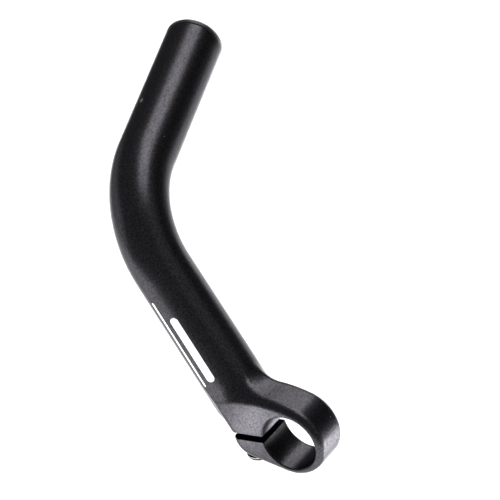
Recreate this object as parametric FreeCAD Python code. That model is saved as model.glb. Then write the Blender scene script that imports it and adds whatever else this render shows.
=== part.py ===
import FreeCAD, Part
import math
import os

Vec = FreeCAD.Vector
os.makedirs("parts", exist_ok=True)

# Left-hand bicycle bar end, in millimetres.
# The origin is the middle of the clamp bore. +X runs inboard along the bore.
# +Y runs along the slit to its mouth. +Z runs up along the clamp bolt.

# Clamp ring and jaws: the ring's outside is set towards the arm, so its wall is thickest there
bore_nominal_d = 22.2
bore_clear = 0.05
clamp_w = 16.0
ring_wall = 3.4
ring_shift = 0.5
edge_round = 3.0
mouth_chamfer = 0.45
slit_w = 2.8
shoulder_deg = 21.0
inboard_face_d = 33.0
jaw_nose_r = 8.2
jaw_front = 25.0
foot_nose_r = 5.0

# Clamp bolt, an M6 socket head cap screw
bolt_y = 19.7
bolt_d = 6.0
bolt_len = 18.0
head_d = 10.0
head_h = 6.0
head_chamfer = 0.5
socket_af = 5.0
socket_depth = 3.0
tip_chamfer = 0.8
thread_clear = 0.05
jaw_hole_clear = 0.2
seat_clear = 0.5
seat_z = -7.0
tap_depth = 15.0

# Arm: it stands on the bolt's centre, rises along the clamp and bends inboard
rise_deg = 66.0
arm_inset = 0.6
tube_d = 22.3
tube_wall = 2.3
taper_deg = 0.36
dome_at = 12.0
bend_at = 67.7
bend_r = 38.8
bend_deg = 68.6
end_len = 57.8
blend_r = 15.0
cavity_at = 30.0
drill_deg = 118.0
end_break = 0.3

# How far the clamp's plate runs up inside the arm
core_front = 18.0

# End plug
flange_t = 2.7
flange_chamfer = 1.2
stem_len = 10.0
stem_wall = 1.6
stem_clear = 0.02

bore_r = bore_nominal_d / 2 + bore_clear
ring_r = bore_r + ring_wall
tube_r = tube_d / 2
cavity_r = tube_r - tube_wall
half_w = clamp_w / 2
half_slit = slit_w / 2
across = Vec(1, 0, 0)
up = Vec(0, 0, 1)
rise = math.radians(rise_deg)
along = Vec(0, math.cos(rise), math.sin(rise))
foot = Vec(tube_r + arm_inset - half_w, bolt_y, 0)
taper = math.radians(taper_deg)
dome_r = tube_r * math.cos(taper) + (bend_at - dome_at) * math.sin(taper)
bend = math.radians(bend_deg)
bend_axis = along.cross(across)
bend_start = foot + along * bend_at
bend_centre = bend_start + across * bend_r
out = along * math.cos(bend) + across * math.sin(bend)
bend_end = bend_centre + (along * math.sin(bend) - across * math.cos(bend)) * bend_r
tube_end = bend_end + out * end_len
far = 80.0


def polar(centre, radius, deg):
    """A point on a circle, in the plane of the outboard face of the clamp."""
    angle = math.radians(deg)
    return centre + Vec(0, radius * math.cos(angle), radius * math.sin(angle))


def line(a, b):
    return Part.makeLine(a, b)


def arc(a, b, c):
    return Part.Arc(a, b, c).toShape()


def turned(edges, base, axis):
    """A solid of revolution from a closed profile."""
    return Part.Face(Part.Wire(edges)).revolve(base, axis, 360)


def clamp_plate(nose, nose_r, front):
    """Ring, arched shoulder and nose as one rounded plate, still without holes."""
    ring = Vec(-half_w, ring_shift, ring_shift)
    to_nose = nose - ring
    lean = math.degrees(math.atan2(to_nose.z, to_nose.y) - math.acos((ring_r - nose_r) / to_nose.Length))
    top = polar(ring, ring_r, 90 + shoulder_deg)
    low = polar(ring, ring_r, lean)
    jaw = polar(nose, nose_r, lean)
    face = polar(nose, nose_r, front)
    crest = polar(face, core_front, front + 90)
    chord = crest - top
    half_turn = (math.radians(shoulder_deg) - math.atan2(chord.z, chord.y)) / 2
    arch = (top + crest) / 2 + Vec(0, -chord.z, chord.y) * (math.tan(half_turn) / 2)
    outline = [
        arc(top, polar(ring, ring_r, 180), low),
        line(low, jaw),
        arc(jaw, polar(nose, nose_r, (lean + front) / 2), face),
        line(face, crest),
        arc(crest, arch, top),
    ]
    plate = Part.Face(Part.Wire(outline)).extrude(across * clamp_w)
    rims = [e for e in plate.Edges if abs(abs(e.CenterOfMass.x) - half_w) < 1e-6]
    return plate.makeFillet(edge_round, rims)


def arm_root():
    """First straight of the arm: a slight taper closed by a tangent dome."""

    def at(radius, s):
        return foot + across * radius + along * s

    diag = dome_r * math.sqrt(0.5)
    pole = at(0, dome_at - dome_r)
    tangent = at(dome_r * math.cos(taper), dome_at + dome_r * math.sin(taper))
    rim = at(tube_r, bend_at)
    return turned([
        arc(pole, at(diag, dome_at - diag), tangent),
        line(tangent, rim),
        line(rim, bend_start),
        line(bend_start, pole),
    ], foot, along)


def swept(radius):
    """Round bar of one radius through the bend and along the end of the arm."""
    ring = Part.Wire(Part.makeCircle(radius, bend_start, along))
    elbow = Part.Face(ring).revolve(bend_centre, bend_axis, bend_deg)
    return elbow.fuse(Part.makeCylinder(radius, end_len, bend_end, out))


def blended(plate, root):
    """Plate and arm as one forging, with a rolled blend where they meet."""
    whole = plate.fuse(root)
    seam = []
    for edge in whole.Edges:
        middle = Part.Vertex(edge.valueAt((edge.FirstParameter + edge.LastParameter) / 2))
        if middle.distToShape(plate)[0] < 1e-4 and middle.distToShape(root)[0] < 1e-4:
            seam.append(edge)
    return whole.makeFillet(blend_r, seam)


def body():
    foot_nose = Vec(-half_w, bolt_y, 0)
    forging = blended(clamp_plate(foot_nose, foot_nose_r, rise_deg - 90), arm_root())

    # The blend stays above the slit and the lower jaw has a fuller nose. The inboard
    # side is faced flat about the bore, clear of the blend.
    above = Part.makeBox(2 * far, 2 * far, 2 * far, Vec(-far, -far, half_slit))
    jaw_nose = Vec(-half_w, jaw_front - jaw_nose_r, -half_slit)
    lower = clamp_plate(jaw_nose, jaw_nose_r, 0).cut(above)
    forging = forging.common(above).fuse(lower).removeSplitter()
    forging = forging.cut(Part.makeCylinder(inboard_face_d / 2, far, Vec(half_w, 0, 0), across))

    # Bend and end of the arm, hollow from the tip to a drilled bottom above the bolt.
    forging = forging.fuse(swept(tube_r))
    bottom = foot + along * cavity_at
    point = cavity_r / math.tan(math.radians(drill_deg / 2))
    drilled = Part.makeCone(0, cavity_r, point, bottom - along * point, along)
    hollow = Part.makeCylinder(cavity_r, bend_at - cavity_at, bottom, along)
    forging = forging.cut(hollow.fuse([drilled, swept(cavity_r)]))

    # Bore with broken mouths, and the slit sawn into it from the front.
    mouth_r = bore_r + mouth_chamfer
    deep = half_w - mouth_chamfer
    forging = forging.cut(Part.makeCylinder(bore_r, clamp_w, Vec(-half_w, 0, 0), across))
    forging = forging.cut(Part.makeCone(mouth_r, bore_r, mouth_chamfer, Vec(-half_w, 0, 0), across))
    forging = forging.cut(Part.makeCone(bore_r, mouth_r, mouth_chamfer, Vec(deep, 0, 0), across))
    inner = bore_r - slit_w
    forging = forging.cut(Part.makeBox(2 * far, far, slit_w, Vec(-far, inner, -half_slit)))

    # Tapped hole above the slit, clear hole and flat seat for the head below it.
    on_axis = Vec(0, bolt_y, 0)
    forging = forging.cut(Part.makeCylinder(bolt_d / 2 + thread_clear, tap_depth, on_axis, up))
    forging = forging.cut(Part.makeCylinder(bolt_d / 2 + jaw_hole_clear, far, on_axis, up * -1))
    seat = on_axis + up * seat_z
    forging = forging.cut(Part.makeCylinder(head_d / 2 + seat_clear, far, seat, up * -1))

    # Broken outer edge at the tip, so the plug's joint shows as a fine line.
    rim = [e for e in forging.Edges if (e.CenterOfMass - tube_end).Length < 1e-3
           and abs(e.Length - math.pi * tube_d) < 1e-3]
    return forging.makeChamfer(end_break, rim)


def bolt():
    seat = Vec(0, bolt_y, seat_z)
    shank = Part.makeCylinder(bolt_d / 2, bolt_len, seat, up)
    tip = [e for e in shank.Edges if e.CenterOfMass.z > seat_z + bolt_len - 1e-3]
    shank = shank.makeChamfer(tip_chamfer, tip)
    head = Part.makeCylinder(head_d / 2, head_h, seat, up * -1)
    rim = [e for e in head.Edges if e.CenterOfMass.z < seat_z - head_h + 1e-3]
    head = head.makeChamfer(head_chamfer, rim)
    corner = socket_af / math.sqrt(3)
    floor = seat_z - head_h
    hexagon = []
    for i in range(7):
        angle = math.radians(60 * i)
        hexagon.append(Vec(corner * math.cos(angle), bolt_y + corner * math.sin(angle), floor))
    socket = Part.Face(Part.makePolygon(hexagon)).extrude(up * socket_depth)
    return head.fuse(shank).cut(socket).removeSplitter()


def plug():
    """Turned about the arm's end: a flange flush with the tube, and a hollow stem in it."""

    def at(radius, s):
        return tube_end + bend_axis * radius + out * s

    stem_r = cavity_r - stem_clear
    rim_top = flange_t - flange_chamfer
    shoulder = tube_r - flange_chamfer
    edge_in = tube_r - end_break
    return turned([
        line(at(stem_r - stem_wall, 0), at(stem_r - stem_wall, -stem_len)),
        line(at(stem_r - stem_wall, -stem_len), at(stem_r - end_break, -stem_len)),
        line(at(stem_r - end_break, -stem_len), at(stem_r, end_break - stem_len)),
        line(at(stem_r, end_break - stem_len), at(stem_r, 0)),
        line(at(stem_r, 0), at(edge_in, 0)),
        line(at(edge_in, 0), at(tube_r, end_break)),
        line(at(tube_r, end_break), at(tube_r, rim_top)),
        line(at(tube_r, rim_top), at(shoulder, flange_t)),
        line(at(shoulder, flange_t), at(0, flange_t)),
        line(at(0, flange_t), at(0, 0)),
        line(at(0, 0), at(stem_r - stem_wall, 0)),
    ], tube_end, out)


for name, shape in (("bar_end_body", body()), ("clamp_bolt", bolt()), ("end_plug", plug())):
    shape.exportStep("parts/" + name + ".step")
    print(name, shape.isValid(), len(shape.Solids), round(shape.Volume, 1))
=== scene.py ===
import math

import bmesh
import bpy
from mathutils import Matrix, Vector


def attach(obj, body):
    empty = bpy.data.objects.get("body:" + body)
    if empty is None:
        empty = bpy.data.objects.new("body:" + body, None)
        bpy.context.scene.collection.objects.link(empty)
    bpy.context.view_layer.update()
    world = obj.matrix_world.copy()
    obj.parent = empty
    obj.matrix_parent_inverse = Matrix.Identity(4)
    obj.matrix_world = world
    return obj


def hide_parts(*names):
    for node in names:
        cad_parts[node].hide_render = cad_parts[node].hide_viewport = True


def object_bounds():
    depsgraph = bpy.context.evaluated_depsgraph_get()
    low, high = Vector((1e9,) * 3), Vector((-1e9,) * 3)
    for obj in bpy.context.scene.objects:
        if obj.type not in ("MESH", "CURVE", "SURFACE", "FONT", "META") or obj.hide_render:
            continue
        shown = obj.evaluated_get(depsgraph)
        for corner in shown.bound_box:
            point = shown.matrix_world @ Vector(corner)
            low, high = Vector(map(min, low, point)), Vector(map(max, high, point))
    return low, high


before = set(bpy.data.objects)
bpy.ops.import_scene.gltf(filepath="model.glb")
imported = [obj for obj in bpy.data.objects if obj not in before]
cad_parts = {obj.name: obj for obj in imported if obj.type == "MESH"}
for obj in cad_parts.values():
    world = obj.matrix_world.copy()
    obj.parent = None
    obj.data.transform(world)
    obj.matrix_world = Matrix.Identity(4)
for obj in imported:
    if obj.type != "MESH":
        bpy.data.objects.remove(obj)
cad_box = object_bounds()

# The body: split clamp ring and bent hollow arm, forged in one piece from aluminium. It was
# blasted with fine beads and anodised black, which leaves a satin skin with an even grain, drawn
# coarser than real so that it shows. Layers over it give painted shade in the slit, chips and printed
# stripes.
MM = 0.001


def linear(hex_colour):
    """sRGB hex to linear red, green, blue and alpha."""
    values = [int(hex_colour[i:i + 2], 16) / 255 for i in (0, 2, 4)]
    return [v / 12.92 if v <= 0.04045 else ((v + 0.055) / 1.055) ** 2.4 for v in values] + [1]


def wire(owner, node, inputs):
    """Gives a node's inputs their values, or links them to outputs of other nodes."""
    for entry, value in inputs.items():
        if isinstance(value, bpy.types.NodeSocket):
            owner.node_tree.links.new(node.inputs[entry], value)
        else:
            node.inputs[entry].default_value = value


def add(owner, kind, inputs, **settings):
    """Adds a node to a material or world, with its settings and inputs."""
    node = owner.node_tree.nodes.new("ShaderNode" + kind)
    for name, value in settings.items():
        setattr(node, name, value)
    wire(owner, node, inputs)
    return node


def new_material(name):
    """A material with one Principled shader, and that shader."""
    material = bpy.data.materials.new(name)
    material.use_nodes = True
    return material, material.node_tree.nodes["Principled BSDF"]


GRAIN_MM = 0.6
GRAIN_DEPTH_MM = 0.02
GRAIN_EDGES = (0.22, 0.78)
SKIN_ROUGHNESS = 0.31
anodised, skin = new_material("black anodised aluminium, bead blasted")
place = add(anodised, "TexCoord", {}).outputs["Object"]
grain = add(anodised, "TexNoise", {"Vector": place, "Scale": 1 / (GRAIN_MM * MM), "Detail": 2.0})
grain = grain.outputs["Fac"]
bump = add(anodised, "Bump", {"Height": grain, "Strength": 0.4, "Distance": GRAIN_DEPTH_MM * MM})
peaks = add(anodised, "MapRange", {"Value": grain, "From Min": GRAIN_EDGES[0],
                                   "From Max": GRAIN_EDGES[1]})
colour = add(anodised, "Mix", {0: peaks.outputs["Result"], 6: linear("1B1A1D"), 7: linear("3D3C3F")},
             data_type="RGBA").outputs[2]

# The slit's two faces are painted near black and made rougher: painted shade in the narrow gap.
SLIT_HALF_MM = 1.42
SLIT_FROM_MM = 9.0
spot = add(anodised, "SeparateXYZ", {0: place})
height = add(anodised, "Math", {0: spot.outputs["Z"]}, operation="ABSOLUTE").outputs[0]
inside = add(anodised, "Math", {0: height, 1: SLIT_HALF_MM * MM}, operation="LESS_THAN").outputs[0]
forward = add(anodised, "Math", {0: spot.outputs["Y"], 1: SLIT_FROM_MM * MM},
              operation="GREATER_THAN").outputs[0]
slit_painted_shade = add(anodised, "Math", {0: inside, 1: forward}, operation="MULTIPLY").outputs[0]

# Wear: a nick near the tip and two specks, where bare aluminium shows through the black.
CHIPS_MM = (((41.1, 68.5, 110.4), 0.9), ((30.4, 53.2, 102.1), 0.22), ((3.6, -12.7, 6.5), 0.22))
CHIP_EDGES = (1.6, 1.3)
chipped = 0.0
for middle, reach in CHIPS_MM:
    gap = add(anodised, "VectorMath", {0: place, 1: Vector(middle) * MM}, operation="DISTANCE")
    ragged = add(anodised, "Math", {0: grain, 1: reach * MM, 2: gap.outputs["Value"]},
                 operation="MULTIPLY_ADD").outputs[0]
    chip = add(anodised, "MapRange", {"Value": ragged, "From Min": CHIP_EDGES[0] * reach * MM,
                                      "From Max": CHIP_EDGES[1] * reach * MM})
    chipped = add(anodised, "Math", {0: chip.outputs["Result"], 1: chipped},
                  operation="MAXIMUM").outputs[0]

# The print: two plain stripes of white ink along the outboard side of the arm's first straight,
# laid out in millimetres from the arm's foot and, round the arm, from its outermost line.
ARM_FOOT_MM = Vector((3.75, 19.7, 0.0))
ARM_RISE = math.radians(66.0)
ARM_R_MM = 11.3
STRIPES_MM = ((24.0, 52.0, 1.6, 3.4), (23.0, 60.0, -3.2, 1.1))
PRINT_EDGE_MM = 0.05
rising = Vector((0, math.cos(ARM_RISE), math.sin(ARM_RISE)))
outboard = Vector((-1, 0, 0))
arm_turn = Matrix((outboard, rising.cross(outboard), rising)).transposed().to_euler()
on_arm = add(anodised, "Mapping", {"Vector": place, "Location": ARM_FOOT_MM * MM, "Rotation": arm_turn,
                                   "Scale": (MM, MM, MM)}, vector_type="TEXTURE")
spot = add(anodised, "SeparateXYZ", {0: on_arm.outputs["Vector"]})
angle = add(anodised, "Math", {0: spot.outputs["Y"], 1: spot.outputs["X"]},
            operation="ARCTAN2").outputs[0]
girth = add(anodised, "Math", {0: angle, 1: ARM_R_MM}, operation="MULTIPLY").outputs[0]
inked = 0.0
for start, end, offset, width in STRIPES_MM:
    along = add(anodised, "Math", {0: spot.outputs["Z"], 1: (start + end) / 2},
                operation="SUBTRACT").outputs[0]
    along = add(anodised, "Math", {0: along}, operation="ABSOLUTE").outputs[0]
    along = add(anodised, "Math", {0: along, 1: (end - start - width) / 2},
                operation="SUBTRACT").outputs[0]
    along = add(anodised, "Math", {0: along, 1: 0.0}, operation="MAXIMUM").outputs[0]
    beside = add(anodised, "Math", {0: girth, 1: offset}, operation="SUBTRACT").outputs[0]
    gap = add(anodised, "CombineXYZ", {"X": along, "Y": beside}).outputs[0]
    gap = add(anodised, "VectorMath", {0: gap}, operation="LENGTH").outputs["Value"]
    stripe = add(anodised, "MapRange", {"Value": gap, "From Min": width / 2 + PRINT_EDGE_MM,
                                        "From Max": width / 2 - PRINT_EDGE_MM})
    inked = add(anodised, "Math", {0: stripe.outputs["Result"], 1: inked},
                operation="MAXIMUM").outputs[0]

roughness = SKIN_ROUGHNESS
# The layers: painted shade on the slit's faces, bare aluminium at the chips, white ink of the print.
LAYERS = ((slit_painted_shade, "0B0B0C", 0.55), (chipped, "8C8B88", 0.45), (inked, "F2F2F2", 0.5))
for mask, layer_colour, layer_roughness in LAYERS:
    colour = add(anodised, "Mix", {0: mask, 6: colour, 7: linear(layer_colour)},
                 data_type="RGBA").outputs[2]
    roughness = add(anodised, "Mix", {0: mask, 2: roughness, 3: layer_roughness}).outputs[0]
metallic = add(anodised, "Math", {0: 1.0, 1: inked}, operation="SUBTRACT").outputs[0]
wire(anodised, skin, {"Base Color": colour, "Metallic": metallic, "Roughness": roughness,
                      "Normal": bump.outputs["Normal"], "Specular Tint": linear("BCBCBC")})
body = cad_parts["bar_end_body"]
body.data.materials.clear()
body.data.materials.append(anodised)

# The clamp bolt: a socket head cap screw of steel, cold headed, knurled, thread rolled and zinc
# plated. It goes up through the lower jaw into the tapped arm and closes the slit. Its head is painted
# in bands by height: painted dark reflection on the knurled side and at the lip, a painted pale
# reflection between.
BOLT_FOOT = Vector((0.0, 19.7, 0.0)) * MM
BOLT_SEAT_MM = -7.0
BOLT_TIP_MM = 11.0
HEAD_R_MM = 5.0
HEAD_H_MM = 6.0
HEAD_ROUND_MM = 1.5
END_RIM_MM = 0.2
KNURLS = 72
KNURL_EDGE_MM = 0.06
KNURL_RISE_MM = 0.12
SOCKET_AF_MM = 5.0
SOCKET_DEPTH_MM = 3.0
THREAD_R_MM = 3.0
THREAD_ROOT_MM = 2.45
THREAD_PITCH_MM = 1.0
THREAD_TURNS = 15
THREAD_STEPS = 24
THREAD_SUNK_MM = 0.1
THREAD_FLANKS_MM = (0.48, 0.06)
TIP_BREAK_MM = 0.3
UP = Vector((0, 0, 1))


def turned(mesh, profile_mm, rounded_mm, foot, axis, steps):
    """Spins a profile of radii and heights about an axis, with some of its corners rounded."""
    side = axis.orthogonal().normalized()
    corners = [mesh.verts.new(foot + (side * radius + axis * rise) * MM) for radius, rise in profile_mm]
    for pair in zip(corners, corners[1:]):
        mesh.edges.new(pair)
    for index, radius in rounded_mm.items():
        bmesh.ops.bevel(mesh, geom=[corners[index]], offset=radius * MM, segments=6, profile=0.5,
                        affect="VERTICES", material=-1)
    bmesh.ops.spin(mesh, geom=mesh.verts[:] + mesh.edges[:], cent=foot, axis=axis, angle=math.tau,
                   steps=steps, use_merge=True)
    bmesh.ops.remove_doubles(mesh, verts=mesh.verts, dist=0.001 * MM)


def show(mesh, name, material, node_name):
    """Makes a piece of a finished mesh and puts it in place of its CAD node."""
    bmesh.ops.recalc_face_normals(mesh, faces=mesh.faces)
    for face in mesh.faces:
        face.smooth = True
    for edge in mesh.edges:
        edge.smooth = edge.calc_face_angle(0.0) < math.radians(35)
    data = bpy.data.meshes.new(name)
    mesh.to_mesh(data)
    mesh.free()
    data.materials.append(material)
    piece = bpy.data.objects.new(name, data)
    bpy.context.collection.objects.link(piece)
    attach(piece, "root")
    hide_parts(node_name)


head_end_mm = BOLT_SEAT_MM - HEAD_H_MM
neck_mm = BOLT_SEAT_MM + THREAD_PITCH_MM
screw = bmesh.new()
turned(screw, [
    (HEAD_R_MM - HEAD_ROUND_MM - END_RIM_MM, head_end_mm),
    (HEAD_R_MM, head_end_mm),
    (HEAD_R_MM, BOLT_SEAT_MM),
    (THREAD_R_MM, BOLT_SEAT_MM),
    (THREAD_R_MM, neck_mm),
    (THREAD_ROOT_MM, neck_mm + THREAD_R_MM - THREAD_ROOT_MM),
    (THREAD_ROOT_MM, BOLT_TIP_MM - TIP_BREAK_MM),
    (THREAD_ROOT_MM - TIP_BREAK_MM, BOLT_TIP_MM),
    (0.0, BOLT_TIP_MM),
], {1: HEAD_ROUND_MM}, BOLT_FOOT, UP, KNURLS)
flank = [f for f in screw.faces
         if f.calc_center_median().z < BOLT_SEAT_MM * MM and abs(f.normal.z) < 0.01]
bmesh.ops.inset_individual(screw, faces=flank, thickness=KNURL_EDGE_MM * MM,
                           depth=-KNURL_RISE_MM * MM, use_even_offset=True)

# The hexagon is let into the end of the head.
socket = bmesh.ops.create_circle(screw, radius=SOCKET_AF_MM / math.sqrt(3) * MM, segments=6,
                                 matrix=Matrix.Translation(BOLT_FOOT + UP * head_end_mm * MM))
hexagon = list({edge for vert in socket["verts"] for edge in vert.link_edges})
bmesh.ops.triangle_fill(screw, use_beauty=True, normal=-UP,
                        edges=[e for e in screw.edges if len(e.link_faces) < 2])
sunk = bmesh.ops.extrude_edge_only(screw, edges=hexagon)["geom"]
bmesh.ops.translate(screw, verts=[g for g in sunk if isinstance(g, bmesh.types.BMVert)],
                    vec=UP * SOCKET_DEPTH_MM * MM)
rim = [g for g in sunk if isinstance(g, bmesh.types.BMEdge)]
bottom = bmesh.ops.contextual_create(screw, geom=rim)["faces"]
bmesh.ops.poke(screw, faces=bottom, offset=0.0)

# The thread is one ridge wound up the shank, closed at both ends.
base, crest = THREAD_FLANKS_MM
base_r = THREAD_ROOT_MM - THREAD_SUNK_MM
section = ((base_r, -base), (THREAD_R_MM, -crest), (THREAD_R_MM, crest), (base_r, base))
ridge = [screw.verts.new(BOLT_FOOT + Vector((radius, 0, neck_mm + THREAD_PITCH_MM + rise)) * MM)
         for radius, rise in section]
loop = [screw.edges.new(pair) for pair in zip(ridge, ridge[1:] + ridge[:1])]
bmesh.ops.spin(screw, geom=ridge + loop, cent=BOLT_FOOT, axis=UP,
               dvec=UP * THREAD_PITCH_MM * MM / THREAD_STEPS,
               angle=math.tau * THREAD_TURNS, steps=THREAD_STEPS * THREAD_TURNS)
bmesh.ops.holes_fill(screw, edges=[e for e in screw.edges if len(e.link_faces) < 2], sides=4)

MOTTLE_MM = 0.8
# Bands up the head from its end: plating, painted dark reflection at the lip, painted pale reflection,
# painted dark reflection on the knurled side, plating.
HEAD_PAINTED_REFLECTION_MM = ((0.0, "D6D6D3"), (0.1, "0A0A0A"), (1.32, "B4B4B2"), (1.85, "040404"),
                 (5.95, "D6D6D3"))
METALLIC_ABOVE = 0.5
plated, plate_skin = new_material("bright zinc plated steel")
place = add(plated, "TexCoord", {}).outputs["Object"]
mottle = add(plated, "TexNoise", {"Vector": place, "Scale": 1 / (MOTTLE_MM * MM), "Detail": 3.0})
spot = add(plated, "SeparateXYZ", {0: place})
up_head = add(plated, "MapRange", {"Value": spot.outputs["Z"], "From Min": head_end_mm * MM,
                                   "From Max": BOLT_SEAT_MM * MM})
painted_reflection_bands = add(plated, "ValToRGB", {"Fac": up_head.outputs["Result"]})
painted_reflection_bands.color_ramp.interpolation = "CONSTANT"
while len(painted_reflection_bands.color_ramp.elements) < len(HEAD_PAINTED_REFLECTION_MM):
    painted_reflection_bands.color_ramp.elements.new(1.0)
for stop, (rise, zone_colour) in zip(painted_reflection_bands.color_ramp.elements, HEAD_PAINTED_REFLECTION_MM):
    stop.position = rise / HEAD_H_MM
    stop.color = linear(zone_colour)
dulled = add(plated, "Mix", {0: mottle.outputs["Fac"], 6: linear("FFFFFF"), 7: linear("D8D8D6")},
             data_type="RGBA").outputs[2]
colour = add(plated, "Mix", {0: 1.0, 6: painted_reflection_bands.outputs["Color"], 7: dulled},
             data_type="RGBA", blend_type="MULTIPLY").outputs[2]
# The painted reflection bands are matte colour; the plating outside them stays metallic.
bare = add(plated, "Math", {0: painted_reflection_bands.outputs["Color"], 1: METALLIC_ABOVE}, operation="GREATER_THAN")
wire(plated, plate_skin, {"Base Color": colour, "Metallic": bare.outputs[0], "Roughness": 0.2,
                          "Specular IOR Level": 0.0})
show(screw, "socket_head_screw", plated, "clamp_bolt")

# The end plug: black polyethylene, moulded in one piece. Its flange is flush with the tube and
# softly rounded, and its hollow stem is pressed into the arm's open end.
PLUG_FOOT = Vector((82.2078, 70.5074, 114.1154)) * MM
ARM_END = Vector((0.931056, 0.148409, 0.333332)).normalized()
FLANGE_R_MM = 11.15
FLANGE_T_MM = 2.7
FLANGE_ROUND_MM = 1.8
JOINT_BREAK_MM = 0.3
STEM_R_MM = 8.83
STEM_BORE_MM = 7.23
STEM_LEN_MM = 10.0
PLUG_STEPS = 96
cap = bmesh.new()
turned(cap, [
    (0.0, FLANGE_T_MM),
    (FLANGE_R_MM, FLANGE_T_MM),
    (FLANGE_R_MM, JOINT_BREAK_MM),
    (FLANGE_R_MM - JOINT_BREAK_MM, 0.0),
    (STEM_R_MM, 0.0),
    (STEM_R_MM, JOINT_BREAK_MM - STEM_LEN_MM),
    (STEM_R_MM - JOINT_BREAK_MM, -STEM_LEN_MM),
    (STEM_BORE_MM, -STEM_LEN_MM),
    (STEM_BORE_MM, 0.0),
    (0.0, 0.0),
], {1: FLANGE_ROUND_MM}, PLUG_FOOT, ARM_END, PLUG_STEPS)

SPECKLE_MM = 0.6
moulded, plug_skin = new_material("black moulded polyethylene")
place = add(moulded, "TexCoord", {}).outputs["Object"]
speckle = add(moulded, "TexNoise", {"Vector": place, "Scale": 1 / (SPECKLE_MM * MM), "Detail": 2.0})
colour = add(moulded, "Mix", {0: speckle.outputs["Fac"], 6: linear("0A0A0B"), 7: linear("151516")},
             data_type="RGBA").outputs[2]
wire(moulded, plug_skin, {"Base Color": colour, "Roughness": 0.42, "IOR": 1.51,
                          "Specular IOR Level": 0.25})
show(cap, "moulded_end_plug", moulded, "end_plug")

# The floor: a plain white table of acrylic, lit a little from below as small goods are often
# photographed. Its glow is strongest beyond the part and dies away towards the camera.
FLOOR_Z = -0.30
FLOOR_R = 3.0
TABLE_LIGHT = 0.4
TABLE_MIDDLE = (0.33, 0.81, FLOOR_Z)
TABLE_TURN = math.radians(37.7)
TABLE_REACH = (1.45, 1.45, 1.0)
sheet = bmesh.new()
bmesh.ops.create_circle(sheet, cap_ends=True, segments=96, radius=FLOOR_R,
                        matrix=Matrix.Translation((0, 0, FLOOR_Z)))
floor_data = bpy.data.meshes.new("floor")
sheet.to_mesh(floor_data)
sheet.free()
table, table_skin = new_material("white acrylic")
place = add(table, "TexCoord", {}).outputs["Object"]
spread = add(table, "Mapping", {"Vector": place, "Location": TABLE_MIDDLE, "Scale": TABLE_REACH,
                                "Rotation": (0, 0, TABLE_TURN)}, vector_type="TEXTURE")
pool = add(table, "TexGradient", {"Vector": spread.outputs["Vector"]}, gradient_type="SPHERICAL")
glow = add(table, "MapRange", {"Value": pool.outputs["Fac"], "To Max": TABLE_LIGHT})
wire(table, table_skin, {"Base Color": linear("F4F4F4"), "Roughness": 0.9,
                         "Emission Color": linear("FFFFFF"),
                         "Emission Strength": glow.outputs["Result"]})
floor_data.materials.append(table)
floor = bpy.data.objects.new("floor", floor_data)
bpy.context.collection.objects.link(floor)


# The lamps: a soft box over the part, white cards round it, two of them small and near the clamp,
# and oval panels about one middle over the table, for light from below. The camera sees none.
def softbox(name, place, shines, long_axis, length, width, radiance, shape="RECTANGLE"):
    """A flat lamp at a place, which shines along one direction and is long along another."""
    data = bpy.data.lights.new(name, "AREA")
    data.shape = shape
    data.size = length
    data.size_y = width
    area = length * width * (math.pi / 4 if shape == "ELLIPSE" else 1)
    data.energy = radiance * math.pi * area
    lamp = bpy.data.objects.new(name, data)
    back = -Vector(shines).normalized()
    side = Vector(long_axis)
    side = (side - back * side.dot(back)).normalized()
    turn = Matrix((side, back.cross(side), back)).transposed().to_4x4()
    lamp.matrix_world = Matrix.Translation(place) @ turn
    lamp.visible_camera = False
    bpy.context.collection.objects.link(lamp)


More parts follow.
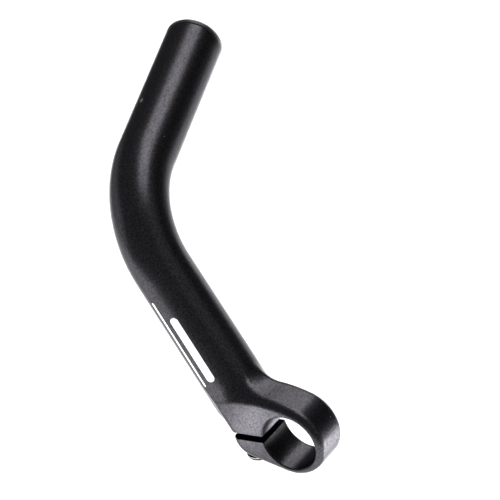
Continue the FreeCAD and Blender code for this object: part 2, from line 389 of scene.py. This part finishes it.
CARDS = (
    ("overhead", (0.25, -0.22, 0.89), (0.77, 0.64, 0.0), 0.85, 0.50, 6.2),
    ("tall far card", (0.96, 0.19, 0.95), (-0.17, 0.98, 0.0), 0.75, 0.45, 6.0),
    ("left card", (-0.19, 1.31, 0.17), (1.0, 0.18, 0.0), 1.6, 0.9, 1.4),
    ("far card", (1.62, 0.14, -0.06), (0.0, 1.0, 0.0), 1.2, 0.35, 11.5),
    ("near card", (-0.05, -1.03, 0.38), (1.0, 0.0, 0.0), 0.9, 0.8, 0.45),
    ("low right card", (0.165, -0.136, -0.187), (0.62, 0.79, 0.0), 0.20, 0.16, 20.0),
    ("low left card", (-0.0484, 0.0450, -0.022), (0.0, 1.0, 0.0), 0.012, 0.012, 24.0),
)
part_middle = (cad_box[0] + cad_box[1]) / 2
for name, place, long_axis, length, width, radiance in CARDS:
    softbox(name, place, part_middle - Vector(place), long_axis, length, width, radiance)
PANELS = 5
PANEL_LIGHT = 18.5
PANEL_CLEAR = 0.005
panel_place = Vector(TABLE_MIDDLE) + UP * PANEL_CLEAR
panel_axis = (math.cos(TABLE_TURN), math.sin(TABLE_TURN), 0.0)
for i in range(PANELS):
    share = 2 * (i + 1) / PANELS
    softbox("table panel", panel_place, UP, panel_axis, share * TABLE_REACH[0],
            share * TABLE_REACH[1], PANEL_LIGHT / PANELS, "ELLIPSE")

# The walls of the studio are dim, and darkest to the right of the camera.
DARK_WALL = Vector((0.766, -0.643, 0.0))
WALL_LIGHT = (0.06, 0.36)
WALL_FADE = (-1.0, 0.2)
world = bpy.data.worlds.new("studio")
world.use_nodes = True
heading = add(world, "TexCoord", {}).outputs["Generated"]
away = add(world, "VectorMath", {0: heading, 1: -DARK_WALL}, operation="DOT_PRODUCT")
walls = add(world, "MapRange", {"Value": away.outputs["Value"],
                                "From Min": WALL_FADE[0], "From Max": WALL_FADE[1],
                                "To Min": WALL_LIGHT[0], "To Max": WALL_LIGHT[1]})
wire(world, world.node_tree.nodes["Background"], {"Color": linear("FFFFFF"),
                                                  "Strength": walls.outputs["Result"]})
bpy.context.scene.world = world
bpy.context.scene.view_settings.view_transform = "Standard"

# The camera stands outboard of the clamp, behind and above it, with a long lens.
CAMERA_AT = Vector((-644.64, -495.84, 496.06)) * MM
LOOK = Vector((0.70322, 0.54417, -0.45755))
CAMERA_UP = Vector((0.49185, 0.09235, 0.86577))
SENSOR_MM = 36.0
LENS_MM = 187.2
right = LOOK.cross(CAMERA_UP)
camera_data = bpy.data.cameras.new("camera")
camera_data.sensor_width = SENSOR_MM
camera_data.lens = LENS_MM
camera = bpy.data.objects.new("camera", camera_data)
turn = Matrix((right, CAMERA_UP, -LOOK)).transposed().to_4x4()
camera.matrix_world = Matrix.Translation(CAMERA_AT) @ turn
bpy.context.collection.objects.link(camera)
bpy.context.scene.camera = camera
